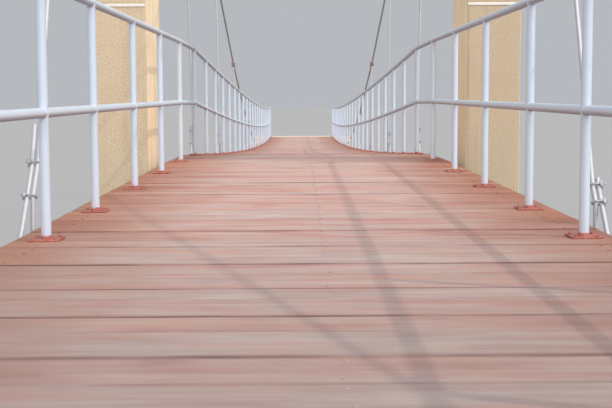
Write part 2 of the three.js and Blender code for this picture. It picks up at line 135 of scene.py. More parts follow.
def finish(material, colour, height=None, strength=0.0, depth=0.0):
    """Gives a material its colour, and fine relief whose depth is in metres."""
    tree = material.node_tree
    shader = tree.nodes["Principled BSDF"]
    tree.links.new(colour, shader.inputs["Base Color"])
    if height:
        relief = {"Height": height, "Strength": strength, "Distance": depth}
        tree.links.new(add_node(tree, "ShaderNodeBump", relief, "Normal"), shader.inputs["Normal"])
    return material


def cloudy(add, place, scale, detail, distortion=0.0):
    """A cloudy pattern between 0 and 1. A scale of three numbers draws it out along some of the axes."""
    if isinstance(scale, tuple):
        place = add("ShaderNodeMapping", {"Vector": place, "Scale": scale})
        scale = 1.0
    return add("ShaderNodeTexNoise", {
        "Vector": place, "Scale": scale, "Detail": detail, "Distortion": distortion})


def laid_over(add, under, colour, value, start, end, most=1.0, least=0.0):
    """A colour laid over another, the more so the further a value is on its way from start to end."""
    share = add("ShaderNodeMapRange", (value, start, end, least, most))
    return add("ShaderNodeMixRGB", (share, under, linear(colour)))


def two_tone(name, scale, detail, stops, **plain):
    """A material whose colour goes cloudily between two."""
    material, add, place = new_material(name, **plain)
    cloud = cloudy(add, place, scale, detail)
    return finish(material, add("ShaderNodeValToRGB", (cloud,), stops=stops))


# Matt painted studio floor: even and pale, with a faint cloudiness a metre or two across
floor_paint = two_tone("matt_floor_paint", 0.6, 3, ((0, "#A9A9A7"), (1, "#ADADAC")), Roughness=0.85)
floor_mesh = bpy.data.meshes.new("floor")
floor_mesh.from_pydata(
    [(x * FLOOR_HALF, y * FLOOR_HALF, -FLOOR_DROP) for x, y in ((-1, -1), (1, -1), (1, 1), (-1, 1))],
    [], [(0, 1, 2, 3)])
floor_mesh.materials.append(floor_paint)
floor = placed("floor", floor_mesh)

surround = bpy.data.worlds.new("surround")
surround.use_nodes = True
surround.node_tree.nodes["Background"].inputs["Color"].default_value = linear("#BFC2C7")
surround.node_tree.nodes["Background"].inputs["Strength"].default_value = SURROUND_STRENGTH
scene.world = surround

for name, path, energy, width, tint in LAMPS:
    light = bpy.data.lights.new(name, "SUN")
    light.energy = energy
    light.angle = math.radians(width)
    light.color = linear(tint)[:3]
    lamp = placed(name, light)
    lamp.rotation_mode = "QUATERNION"
    lamp.rotation_quaternion = path.to_track_quat("-Z", "Y")
scene.view_settings.view_transform = "Standard"

# Abutments and pylon beams: concrete cast in place between boards, rubbed down and washed with a sand
# colour. Their edges are rounded by the shuttering's fillets.

ABUTMENT_EDGE = 0.018
BEAM_EDGE = 0.012
SAME_PLACE = 0.00005
FLAT, SHARP = math.radians(0.5), math.radians(25)


def sand_concrete(name, dark, pale):
    """Cast concrete with a sand-coloured wash: matt, cloudy, with rain streaks and fine pores."""
    material, add, place = new_material(name, Roughness=0.9)
    cloud = cloudy(add, place, 2.6, 6)
    tone = add("ShaderNodeValToRGB", (cloud,), stops=((0.32, dark), (0.68, pale)))
    stained = laid_over(add, tone, "#C2AB88", cloudy(add, place, (9, 9, 0.7), 5), 0.5, 0.8, 0.3)
    return finish(material, stained, cloudy(add, place, 130, 3), 0.35, 0.002)


def as_piece(name, shape, *materials):
    """The shape as a mesh object of this name, with its materials."""
    mesh = bpy.data.meshes.new(name)
    shape.to_mesh(mesh)
    shape.free()
    for material in materials:
        mesh.materials.append(material)
    return placed(name, mesh)


def clean_copy(name, node, edge, material, steps=2):
    """A copy of a CAD node with its loose triangles merged and its edges rounded."""
    shape = bmesh.new()
    shape.from_mesh(nodes[node].data)
    bmesh.ops.remove_doubles(shape, verts=shape.verts, dist=SAME_PLACE)
    bmesh.ops.dissolve_limit(shape, angle_limit=FLAT, verts=shape.verts, edges=shape.edges)
    corners = [e for e in shape.edges if e.calc_face_angle(0) > SHARP]
    bmesh.ops.bevel(shape, geom=corners, offset=edge, segments=steps, profile=0.5, affect="EDGES",
                    clamp_overlap=True)
    return as_piece(name, shape, material)


def hand_over(piece, slot, *stands_for):
    """Every piece rides on the bridge's one body and may stand for CAD nodes, which it hides. The finish slot
    it is given is not used.
    """
    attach(piece, "root")
    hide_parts(*stands_for)


washed_concrete = sand_concrete("sand_washed_concrete", "#DFCBAE", "#EFDFC6")
for node, edge in (("near_abutment", ABUTMENT_EDGE), ("far_abutment", ABUTMENT_EDGE),
                   ("pylon_top_beam", BEAM_EDGE), ("pylon_deck_beam", BEAM_EDGE)):
    hand_over(clean_copy(f"{node}_cast", node, edge, washed_concrete), "concrete", node)

# Pylons: cast legs on plinths. Their front and back faces carry a rough thrown render up to the rounded
# corners, crossed by a thin white line. The side faces are rendered smooth.

PLINTH_MARGIN = 0.075
PLINTH_HEIGHT = 0.45
PLINTH_GAP = 0.0002
RENDER_BORDER = 0.012
RENDER_GRAIN = 0.0012
RENDER_SINK = 0.0005
LEAST_GRAIN = 0.2
RENDER_CELL = 0.011
LINE_HEIGHT_OVER_DECK = 1.195
LINE_HALF = 0.010
LINE_PROUD = 0.006
LINE_END_MARGIN = 0.012
LEG_EDGE = 0.008
RENDER_SEED = 11
# Material slots of a leg, after that of the smooth render
ROUGH, LINE = 1, 2


def thrown_render(name, painted_shade):
    """Cement render thrown on with a brush: pale sand colour, coarse grains 3 to 8 mm across, with soiled
    streaks, and darkened all over by as much painted shade as it is given."""
    material, add, place = new_material(name, Roughness=0.95)
    coarse = cloudy(add, place, 120, 3)
    fine = add("ShaderNodeTexVoronoi", {"Vector": place, "Scale": 320})
    tone = add("ShaderNodeValToRGB", (coarse,), stops=((0.36, "#C2A986"), (0.56, "#E2CEB0")))
    washed = laid_over(add, tone, "#D2BB96", cloudy(add, place, 3.2, 4), 0.35, 0.7, 0.35)
    # Soiled streaks, with painted shade laid evenly over the whole face by the amount given.
    stained = laid_over(add, washed, "#AD9B80", cloudy(add, place, (11, 11, 0.9), 4),
                        0.52, 0.72, painted_shade + 0.4, painted_shade)
    return finish(material, stained, add("ShaderNodeMath", (coarse, fine)), 0.45, 0.0015)


def box_faces(shape, low, high):
    """Adds a closed box to a shape and returns its faces."""
    made = bmesh.ops.create_cube(shape, size=1.0)
    size = [b - a for a, b in zip(low, high)]
    middle = [(a + b) / 2 for a, b in zip(low, high)]
    bmesh.ops.scale(shape, vec=size, verts=made["verts"])
    bmesh.ops.translate(shape, vec=middle, verts=made["verts"])
    return list({face for vertex in made["verts"] for face in vertex.link_faces})


def rendered_panel(shape, x0, x1, z0, z1, y, facing, chance):
    """A closed sheet of thrown render in front of a leg's face, each of its knots as deep as it fell."""
    across = max(2, round((x1 - x0) / RENDER_CELL))
    up = max(2, round((z1 - z0) / RENDER_CELL))
    rows = []
    for j in range(up + 1):
        row = []
        for i in range(across + 1):
            inside = 0 < i < across and 0 < j < up
            depth = chance.uniform(LEAST_GRAIN, 1) * RENDER_GRAIN if inside else -RENDER_SINK
            x = x0 + (x1 - x0) * i / across
            z = z0 + (z1 - z0) * j / up
            row.append(shape.verts.new((x, y + facing * depth, z)))
        rows.append(row)
    for j in range(up):
        for i in range(across):
            corners = [rows[j][i], rows[j][i + 1], rows[j + 1][i + 1], rows[j + 1][i]]
            face = shape.faces.new(corners if facing < 0 else corners[::-1])
            face.material_index = ROUGH
            face.smooth = True
    rim = rows[0] + [row[-1] for row in rows[1:-1]] + rows[-1][::-1] + [row[0] for row in rows[-2:0:-1]]
    shape.faces.new(rim[::-1] if facing < 0 else rim).material_index = ROUGH


def pylon_leg(name, node, line_z, rough_render, chance):
    """A plinth, a shaft with rounded corners, and on its front and back the render and the line."""
    low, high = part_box(node)
    shaft_low = Vector((low.x + PLINTH_MARGIN, low.y + PLINTH_MARGIN, 0))
    shaft_high = Vector((high.x - PLINTH_MARGIN, high.y - PLINTH_MARGIN, high.z))
    shape = bmesh.new()
    box_faces(shape, (low.x, low.y, 0), (high.x, high.y, PLINTH_HEIGHT))
    box_faces(shape, (shaft_low.x, shaft_low.y, PLINTH_HEIGHT + PLINTH_GAP), shaft_high)
    bmesh.ops.bevel(shape, geom=list(shape.edges), offset=LEG_EDGE, segments=2, profile=0.5, affect="EDGES")
    shape.normal_update()
    for face in shape.faces:
        if abs(face.normal.y) > 0.9 and face.calc_center_median().z > PLINTH_HEIGHT:
            face.material_index = ROUGH
    panel_x = (shaft_low.x + RENDER_BORDER, shaft_high.x - RENDER_BORDER)
    for y, facing in ((shaft_low.y, -1), (shaft_high.y, 1)):
        rendered_panel(shape, *panel_x, PLINTH_HEIGHT + RENDER_BORDER, line_z - LINE_HALF, y, facing, chance)
        rendered_panel(shape, *panel_x, line_z + LINE_HALF, shaft_high.z - RENDER_BORDER, y, facing, chance)
        outer = y + facing * LINE_PROUD
        line = box_faces(
            shape, (shaft_low.x + LINE_END_MARGIN, min(y, outer), line_z - LINE_HALF),
            (shaft_high.x - LINE_END_MARGIN, max(y, outer), line_z + LINE_HALF))
        for face in line:
            face.material_index = LINE
    return as_piece(name, shape, smooth_render, rough_render, line_paint)


smooth_render = sand_concrete("smooth_washed_render", "#FAE3BC", "#FFF1D0")
# White masonry paint on the raised line: matt, a little soiled
line_paint = two_tone("white_masonry_paint", 25, 4, ((0, "#FBF8EE"), (1, "#E9E2CF")), Roughness=0.7)
deck_tops = {}
for number in range(1, 5):
    for vertex in nodes[f"deck_{number}"].data.vertices:
        key = round(vertex.co.y, 3)
        deck_tops[key] = max(deck_tops.get(key, 0), vertex.co.z)
deck_line = sorted(deck_tops.items())


def walkway(y):
    """Height and slope of the boards' upper side at a place along the bridge, read from the deck."""
    index = 1
    while index < len(deck_line) - 1 and deck_line[index][0] < y - 1e-6:
        index += 1
    (y0, z0), (y1, z1) = deck_line[index - 1], deck_line[index]
    slope = (z1 - z0) / (y1 - y0)
    return z0 + slope * (y - y0), slope


PYLON_Y = sum(corner.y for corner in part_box("pylon_top_beam")) / 2
line_height = walkway(PYLON_Y)[0] + LINE_HEIGHT_OVER_DECK
# The right leg's render is painted darker than the left's: painted shade.
for side, painted_shade in (("left", 0.0), ("right", 0.4)):
    rough_render = thrown_render(f"thrown_render_{side}", painted_shade)
    chance = random.Random(RENDER_SEED)
    leg = pylon_leg(f"pylon_{side}", f"pylon_leg_{side}", line_height, rough_render, chance)
    hand_over(leg, "concrete", f"pylon_leg_{side}")

# Deck boards: hardwood planks laid across, painted red-brown and worn pale by feet along the middle. They
# differ in width and stand a millimetre or two higher or lower, with dirt in the joints, and are screwed
# down to the three stringers with two screws at each.

BAY = 1.2
MIDDLE_STATION = 12
DECK_JOINTS = (-3, 5, 13, 19, 27)
BOARD_PITCH = 0.2
BOARD_JITTER = 0.018
TIGHT_GAP = 0.0015
WIDE_GAP = 0.005
BOARD_LENGTH = 2.234
BOARD_THICKNESS = 0.048
BOARD_EDGE = 0.003
BOARD_WAVE = 0.003
BOARD_ROLL = 0.004
BOARD_SLACK = 0.002
BOARD_SKEW = 0.0006
SCREW_X = (-1.0, 0.03, 1.0)
SCREW_INSET = 0.035
SCREW_SINK = 0.0022
SCREW_JITTER = 0.008
# Joints that show near the camera: their place in bays, and how dark the joint is
NEAR_JOINTS = (
    (-0.32, 0.9), (-0.12, 0.15), (0.015, 1.0), (0.21, 0.15), (0.33, 0.9), (0.53, 0.2), (0.69, 1.0),
    (0.87, 0.15), (1.02, 0.5), (1.16, 0.3), (1.39, 1.0), (1.56, 0.2), (1.71, 0.6), (1.87, 0.2),
    (2.01, 0.4), (2.15, 0.2), (2.27, 0.6), (2.47, 0.2), (2.67, 1.0), (2.82, 0.2), (2.97, 1.0),
)
OTHER_JOINTS = (0.2, 0.4, 0.7, 1.0)
BOARD_SEED = 40
END_JOINT = 0.8


def along(station):
    """Where a station lies along the bridge. Stations count its bays."""
    return (station - MIDDLE_STATION) * BAY


def worn_deck_paint():
    """Red-brown deck paint on hardwood: walked through to greyish pink in soft patches and streaks, redder
    at the joints and edges. Painted light makes it greyer and darker towards the near end, lighter further
    along."""
    material, add, place = new_material("worn_deck_paint", Roughness=0.6)
    tint, across, near_dirt, far_dirt = (
        add("ShaderNodeAttribute", out="Fac", attribute_name=label)
        for label in ("tint", "across", "near_dirt", "far_dirt"))
    apart = add("ShaderNodeVectorMath", {0: (31.0, 17.0, 0.0), "Scale": tint}, operation="SCALE")
    own = add("ShaderNodeVectorMath", (place, apart))
    patch, streak, grain, warm, wear, seam = (
        cloudy(add, source, scale, detail, 0.4) for source, scale, detail in (
            (own, (2.6, 9, 3), 3), (own, (1.7, 20, 6), 4), (own, (9, 260, 60), 3),
            (own, (1.1, 13, 4), 3), (own, (2.3, 2.3, 2.3), 4), (place, (2.6, 5, 1), 2)))
    hue = add("ShaderNodeMath", (patch, 2.0, -0.75), operation="MULTIPLY_ADD")
    shifted = add("ShaderNodeMath", (tint, 0.5, hue), operation="MULTIPLY_ADD")
    boards = add("ShaderNodeValToRGB", (shifted,), stops=(
        (0, "#B88A80"), (0.28, "#C89C90"), (0.5, "#C6A79B"), (0.72, "#BDA59E"), (1, "#CBB6AA")))
    bleached = laid_over(add, boards, "#D6C7BE", streak, 0.48, 0.28, 0.6)
    rosy = laid_over(add, bleached, "#AC776D", streak, 0.53, 0.75, 0.6)
    mottled = laid_over(add, rosy, "#CF9C80", warm, 0.55, 0.72, 0.6)
    axes = add("ShaderNodeSeparateXYZ", (place,), None)
    off_middle = add("ShaderNodeMath", (axes["X"],), operation="ABSOLUTE")
    trodden = add("ShaderNodeMapRange", (off_middle, 0.42, 1.05, 1.0, 0.02))
    uneven = add("ShaderNodeMath", (wear, 1.1, -0.55), operation="MULTIPLY_ADD")
    worn = add("ShaderNodeMath", (trodden, uneven), use_clamp=True)
    paint = add("ShaderNodeValToRGB", (tint,), stops=((0, "#9B6450"), (1, "#AF785D")))
    colour = add("ShaderNodeMixRGB", (worn, paint, mottled))
    dirt = add("ShaderNodeMapRange", (across, -0.3, 0.3, near_dirt, far_dirt))
    patchy = add("ShaderNodeMapRange", (seam, 0.36, 0.6, 0.3))
    joint = add("ShaderNodeMath", (patchy, dirt), operation="MULTIPLY")
    edge = add("ShaderNodeMath", (across,), operation="ABSOLUTE")
    for start, end, most, dark in ((0.78, 0.96, 0.8, "#9E675B"), (0.88, 0.97, 1.0, "#66372E")):
        beside = add("ShaderNodeMapRange", (edge, start, end, 0.0, most))
        kept = add("ShaderNodeMath", (beside, joint), operation="MULTIPLY")
        colour = add("ShaderNodeMixRGB", (kept, colour, linear(dark)))
    # Painted light: the boards are drawn greyer and darker towards the near end and lighter further along the
    # walkway.
    greyed_near_end = laid_over(add, colour, "#BFADA6", axes["Y"], -12.4, -15.2, 0.3)
    fibre, painted_light_ramp = (
        add("ShaderNodeMapRange", (value, start, end, least, most))
        for value, start, end, least, most in (
            (grain, 0.3, 0.7, 0.94, 1.04), (axes["Y"], -15.3, -11.6, 0.74, 1.14)))
    lightness = add("ShaderNodeMath", (fibre, painted_light_ramp), operation="MULTIPLY")
    finished = add("ShaderNodeVectorMath", {0: greyed_near_end, "Scale": lightness}, operation="SCALE")
    return finish(material, finished, add("ShaderNodeMath", (streak, grain)), 0.4, 0.0015)


def painted_screw():
    """Steel screw heads painted over with the deck, and walked bare to dull grey along the middle."""
    material, add, place = new_material("painted_screw_steel", Roughness=0.6)
    spot = cloudy(add, place, 40, 3)
    bare = add("ShaderNodeValToRGB", (spot,), stops=((0, "#AC9692"), (1, "#BAA29A")))
    side = add("ShaderNodeSeparateXYZ", (place,), "X")
    off_middle = add("ShaderNodeMath", (side,), operation="ABSOLUTE")
    return finish(material, laid_over(add, bare, "#9C6656", off_middle, 0.3, 0.9))


def new_tree(name, **sizes):
    """A Geometry Nodes tree that takes a mesh, a finish and sizes, each a named input with its value."""
    tree = bpy.data.node_groups.new(name, "GeometryNodeTree")
    tree.interface.new_socket("source", in_out="INPUT", socket_type="NodeSocketGeometry")
    tree.interface.new_socket("result", in_out="OUTPUT", socket_type="NodeSocketGeometry")
    tree.interface.new_socket("finish", in_out="INPUT", socket_type="NodeSocketMaterial")
    for label, value in sizes.items():
        kind = "NodeSocketInt" if isinstance(value, int) else "NodeSocketFloat"
        tree.interface.new_socket(label, in_out="INPUT", socket_type=kind).default_value = value
    add = functools.partial(add_node, tree)
    return tree, add, add("NodeGroupInput", out=None)


def end_tree(tree, add, given, shape, smooth):
    """The last nodes of every tree: instances made real, shading with flat ends, material and the way out."""
    real = add("GeometryNodeRealizeInstances", {"Geometry": shape})
    shaded = add("GeometryNodeSetShadeSmooth", {"Geometry": real, "Shade Smooth": smooth})
    corners = add("GeometryNodeInputMeshFaceNeighbors", out="Vertex Count")
    is_end = add("ShaderNodeMath", (corners, 4.5), operation="GREATER_THAN")
    ended = add("GeometryNodeSetShadeSmooth", {
        "Geometry": shaded, "Selection": is_end, "Shade Smooth": False})
    done = add("GeometryNodeSetMaterial", {"Geometry": ended, "Material": given["finish"]})
    add("NodeGroupOutput", {"result": done}, None)
    return tree


def marked(add, shape, label, value):
    """The same shape with a number on each of its points."""
    return add("GeometryNodeStoreNamedAttribute", {
        "Geometry": shape, "Name": label, "Value": value}, data_type="FLOAT", domain="POINT")


def grown(name, source, tree, **sizes):
    """Runs a tree on a mesh and returns what it makes as a plain mesh object at the origin."""
    piece = placed(name, source)
    modifier = piece.modifiers.new(tree.name, "NODES")
    modifier.node_group = tree
    for socket in tree.interface.items_tree:
        if socket.name in sizes:
            modifier[socket.identifier] = sizes[socket.name]
    graph = bpy.context.evaluated_depsgraph_get()
    made = bpy.data.meshes.new_from_object(
        piece.evaluated_get(graph), preserve_all_data_layers=True, depsgraph=graph)
    piece.modifiers.remove(modifier)
    piece.data = made
    return piece


def joined(name, parts):
    """Several objects made into the first of them, which takes the name."""
    if len(parts) > 1:
        with bpy.context.temp_override(active_object=parts[0], selected_editable_objects=parts):
            bpy.ops.object.join()
    parts[0].name = name
    return parts[0]


def points_mesh(places, lines=(), **attributes):
    """A mesh of loose points and of lines between them. Each point takes a number or a vector from an
    attribute's list, or the one that stands there for them all."""
    mesh = bpy.data.meshes.new("points")
    mesh.from_pydata(places, lines, [])
    for label, given in attributes.items():
        values = given if isinstance(given, list) else [given] * len(places)
        is_vector = isinstance(values[0], tuple)
        layer = mesh.attributes.new(label, "FLOAT_VECTOR" if is_vector else "FLOAT", "POINT")
        for item, value in zip(layer.data, values):
            setattr(item, "vector" if is_vector else "value", value)
    return mesh


def plank_tree():
    """On each point a bar with rounded edges, long in X, which "turn" turns and "grow" scales."""
    tree, add, given = new_tree(
        "planks", length=1.0, width=0.2, thickness=0.04, edge=0.003, steps=24, unevenness=0.0)
    section = add("GeometryNodeCurvePrimitiveQuadrilateral", {
        "Width": given["width"], "Height": given["thickness"]})
    rounded = add("GeometryNodeFilletCurve", {
        "Curve": section, "Radius": given["edge"], "Limit Radius": True, "Count": 2}, mode="POLY")
    half = add("ShaderNodeMath", (given["length"], 0.5), operation="MULTIPLY")
    minus = add("ShaderNodeMath", (half, -1.0), operation="MULTIPLY")
    start, end = (add("ShaderNodeCombineXYZ", {"X": reach}) for reach in (minus, half))
    line = add("GeometryNodeCurvePrimitiveLine", {"Start": start, "End": end})
    path = add("GeometryNodeResampleCurve", {"Curve": line, "Count": given["steps"]})
    bar = add("GeometryNodeCurveToMesh", {"Curve": path, "Profile Curve": rounded, "Fill Caps": True})
    place = add("GeometryNodeInputPosition")
    side = add("ShaderNodeSeparateXYZ", (place,), "Y")
    double = add("ShaderNodeMath", (side, 2.0), operation="MULTIPLY")
    share = add("ShaderNodeMath", (double, given["width"]), operation="DIVIDE")
    turn, grow = (
        add("GeometryNodeInputNamedAttribute", {"Name": label}, data_type="FLOAT_VECTOR")
        for label in ("turn", "grow"))
    each = add("GeometryNodeInstanceOnPoints", {
        "Points": given["source"], "Instance": marked(add, bar, "across", share),
        "Rotation": turn, "Scale": grow})
    real = add("GeometryNodeRealizeInstances", {"Geometry": each})
    rough = add("ShaderNodeTexNoise", {"Vector": place, "Scale": 6.0, "Detail": 2})
    level = add("ShaderNodeMath", (rough, 0.5), operation="SUBTRACT")
    lift = add("ShaderNodeMath", (level, given["unevenness"]), operation="MULTIPLY")
    offset = add("ShaderNodeCombineXYZ", {"Z": lift})
    worn = add("GeometryNodeSetPosition", {"Geometry": real, "Offset": offset})
    return end_tree(tree, add, given, worn, False)


def prism_tree(name, smooth):
    """On each point a prism or a round bar that stands on it, turned by "turn", with heights marked."""
    tree, add, given = new_tree(name, sides=6, radius=0.01, height=0.01, first_mark=0.0)
    half = add("ShaderNodeMath", (given["height"], 0.5), operation="MULTIPLY")
    body = add("GeometryNodeMeshCylinder", {
        "Vertices": given["sides"], "Radius": given["radius"], "Depth": given["height"]})
    up = add("ShaderNodeCombineXYZ", {"Z": half})
    stood = add("GeometryNodeTransform", {"Geometry": body, "Translation": up})
    level = add("ShaderNodeSeparateXYZ", {"Vector": add("GeometryNodeInputPosition")}, "Z")
    above = add("ShaderNodeMath", (level, given["first_mark"]))
    turn = add("GeometryNodeInputNamedAttribute", {"Name": "turn"}, data_type="FLOAT_VECTOR")
    each = add("GeometryNodeInstanceOnPoints", {
        "Points": given["source"], "Instance": marked(add, stood, "rise", above), "Rotation": turn})
    return end_tree(tree, add, given, each, smooth)


planks = plank_tree()
prisms = prism_tree("prisms", False)
deck_paint = worn_deck_paint()
screw_steel = painted_screw()


def half_gap(dirt):
    """Half the width of a joint, which is the wider the darker it is."""
    return (TIGHT_GAP + (WIDE_GAP - TIGHT_GAP) * dirt) / 2


def board_joints(first, last, chance):
    """Places of the joints between the boards of one length of deck, with the darkness of each."""
    marks = [(first, END_JOINT)]
    known = [(along(station), dark) for station, dark in NEAR_JOINTS]
    for place, dark in [mark for mark in known if first < mark[0] < last] + [(last, END_JOINT)]:
        origin = marks[-1][0]
        count = max(1, round((place - origin) / BOARD_PITCH))
        for step in range(1, count):
            shift = chance.uniform(-BOARD_JITTER, BOARD_JITTER)
            marks.append((origin + (place - origin) * step / count + shift, chance.choice(OTHER_JOINTS)))
        marks.append((place, dark))
    return marks


for number in range(1, 5):
    chance = random.Random(BOARD_SEED + number)
    deck_low, deck_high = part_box(f"deck_{number}")
    marks = board_joints(deck_low.y, deck_high.y, chance)
    places, turns, grows, tints, near_dirts, far_dirts = [], [], [], [], [], []
    screw_places, screw_turns = [], []
    for (near_joint, near_dirt), (far_joint, far_dirt) in zip(marks, marks[1:]):
        start = near_joint + half_gap(near_dirt)
        end = far_joint - half_gap(far_dirt)
        middle = (start + end) / 2
        top, slope = walkway(middle)
        angle = math.atan(slope)
        roll = chance.uniform(-BOARD_ROLL, BOARD_ROLL)
        slide = chance.uniform(-BOARD_SLACK, BOARD_SLACK)
        places.append((slide, middle, top - BOARD_THICKNESS / 2 - chance.uniform(0, BOARD_SLACK)))
        turns.append((angle + roll, 0.0, chance.uniform(-BOARD_SKEW, BOARD_SKEW)))
        grows.append((1.0, (end - start) / BOARD_PITCH, 1.0))
        tints.append(chance.random())
        near_dirts.append(near_dirt)
        far_dirts.append(far_dirt)
        for x in SCREW_X:
            for y in (start + SCREW_INSET, end - SCREW_INSET):
                shift = chance.uniform(-SCREW_JITTER, SCREW_JITTER)
                screw_places.append((x + shift, y, walkway(y)[0] - SCREW_SINK))
                screw_turns.append((angle, 0.0, 0.0))
    board_points = points_mesh(
        places, turn=turns, grow=grows, tint=tints, near_dirt=near_dirts, far_dirt=far_dirts)
    boards = grown(
        "boards", board_points, planks, length=BOARD_LENGTH, width=BOARD_PITCH,
        thickness=BOARD_THICKNESS, edge=BOARD_EDGE, steps=25, unevenness=BOARD_WAVE, finish=deck_paint)
    screws = grown(
        "screws", points_mesh(screw_places, turn=screw_turns), prisms,
        sides=10, radius=0.0060, height=0.0024, finish=screw_steel)
    hand_over(joined(f"deck_boards_{number}", [boards, screws]), "boards", f"deck_{number}")

# Frame timbers: sawn hardwood stringers with noggings between them, and the cross beams under them, all
# brushed with the same red-brown paint, which has stayed darker here out of the sun and the wear.

TIMBER_EDGE = 0.004


def frame_paint():
    """Red-brown paint on sawn timber in the shade: dull, with darker grain along the wood."""
    material, add, place = new_material("painted_sawn_timber", Roughness=0.85)
    grain = cloudy(add, place, (22, 2.2, 30), 6)
    tone = add("ShaderNodeValToRGB", (grain,), stops=((0, "#5F3B2D"), (1, "#97644F")))
    soiled = laid_over(add, tone, "#6A4B3E", cloudy(add, place, 1.7, 4), 0.0, 1.0)
    return finish(material, soiled, grain, 0.5, 0.002)


timber_paint = frame_paint()
for name, node, count, steps in (("frame_timbers", "deck_frame", 4, 1), ("beam", "cross_beam", 7, 2)):
    for number in range(1, count + 1):
        timber = clean_copy(f"{name}_{number}", f"{node}_{number}", TIMBER_EDGE, timber_paint, steps)
        hand_over(timber, "frame_timber", f"{node}_{number}")

# Railings: steel pipe welded up and enamelled white. The posts stand on square base plates, which are
# painted over with the deck and bolted down at the four corners. Each joint has a bead of weld round it.

SIDES = (("left", -1), ("right", 1))
PIPE_RADIUS = 0.019
PIPE_SIDES = 24
POST_X = 1.0
TOP_RAIL = 0.95
MID_RAIL = 0.47
PLATE_SIZE = 0.115
PLATE_THICKNESS = 0.006
PLATE_BOLT = 0.042
POST_SHIFT = 0.19
SHIFTED_POSTS_END = 1
WELD_RADIUS = 0.0035
WELD_LIFT = 0.001
BEAD_RADIUS = PIPE_RADIUS * 0.96
POST_MARK = 1.0
POST_SHORTER = 0.004
BEAD_DROP = PIPE_RADIUS * 0.9
BEAD_REACH = PIPE_RADIUS * 0.85
BOLT_SPREAD = 0.4
UPRIGHT = (0.0, 0.0, 0.0)
FULL_SIZE = (1.0, 1.0, 1.0)


def white_enamel():
    """White gloss enamel on steel pipe: bluish and bright, grey underneath as painted shade, and with deck
    paint carried up the foot of each post."""
    material, add, place = new_material("white_gloss_enamel", Roughness=0.42)
    rise = add("ShaderNodeAttribute", out="Fac", attribute_name="rise")
    cloud = cloudy(add, place, 7, 5)
    white = add("ShaderNodeValToRGB", (cloud,), stops=((0, "#D9E4EE"), (1, "#CEDAE6")))
    brush = cloudy(add, place, 60, 2)
    edge = add("ShaderNodeMath", (brush, 0.022, -0.011), operation="MULTIPLY_ADD")
    shifted = add("ShaderNodeMath", (rise, edge))
    is_post = add("ShaderNodeMath", (rise, POST_MARK / 2), operation="GREATER_THAN")
    below = add("ShaderNodeMapRange", (shifted, 1.014, 1.021, 1.0, 0.0))
    foot = add("ShaderNodeMath", (below, is_post), operation="MULTIPLY")
    facing = add("ShaderNodeNewGeometry", out="Normal")
    upward = add("ShaderNodeSeparateXYZ", (facing,), "Z")
    # Painted shade: the enamel is drawn grey where its surface faces down.
    painted_under_shade = laid_over(add, white, "#808A98", upward, 0.05, -0.7, 0.75)
    return finish(material, add("ShaderNodeMixRGB", (foot, painted_under_shade, linear("#BE6450"))))


def bar_tree(name, smooth):
    """Along each line of the mesh a bar with closed ends, round or with few sides."""
    tree, add, given = new_tree(name, sides=8, radius=0.01)
    path = add("GeometryNodeMeshToCurve", {"Mesh": given["source"]})
    ring = add("GeometryNodeCurvePrimitiveCircle", {
        "Resolution": given["sides"], "Radius": given["radius"]})
    bar = add("GeometryNodeCurveToMesh", {"Curve": path, "Profile Curve": ring, "Fill Caps": True})
    return end_tree(tree, add, given, bar, smooth)


def lines_mesh(paths):
    """A mesh with a line through each list of points. A path that ends where it starts is closed."""
    places, lines = [], []
    for path in paths:
        start = len(places)
        closed = (Vector(path[0]) - Vector(path[-1])).length < 1e-6
        places += [tuple(point) for point in (path[:-1] if closed else path)]
        lines += [(i, i + 1) for i in range(start, len(places) - 1)]
        if closed:
            lines.append((len(places) - 1, start))
    return points_mesh(places, lines)


def bead(centre, radius, axis, steps=16):
    """A ring of points round an axis, for a bead of weld."""
    first, second = {"Y": ((1, 0, 0), (0, 0, 1)), "Z": ((1, 0, 0), (0, 1, 0))}[axis]
    ring = []
    for i in range(steps + 1):
        turn = 2 * math.pi * (i % steps) / steps
        spoke = math.cos(turn) * Vector(first) + math.sin(turn) * Vector(second)
        ring.append(Vector(centre) + radius * spoke)
    return ring


bars = bar_tree("bars", True)
round_bars = prism_tree("round_bars", True)
enamel = white_enamel()
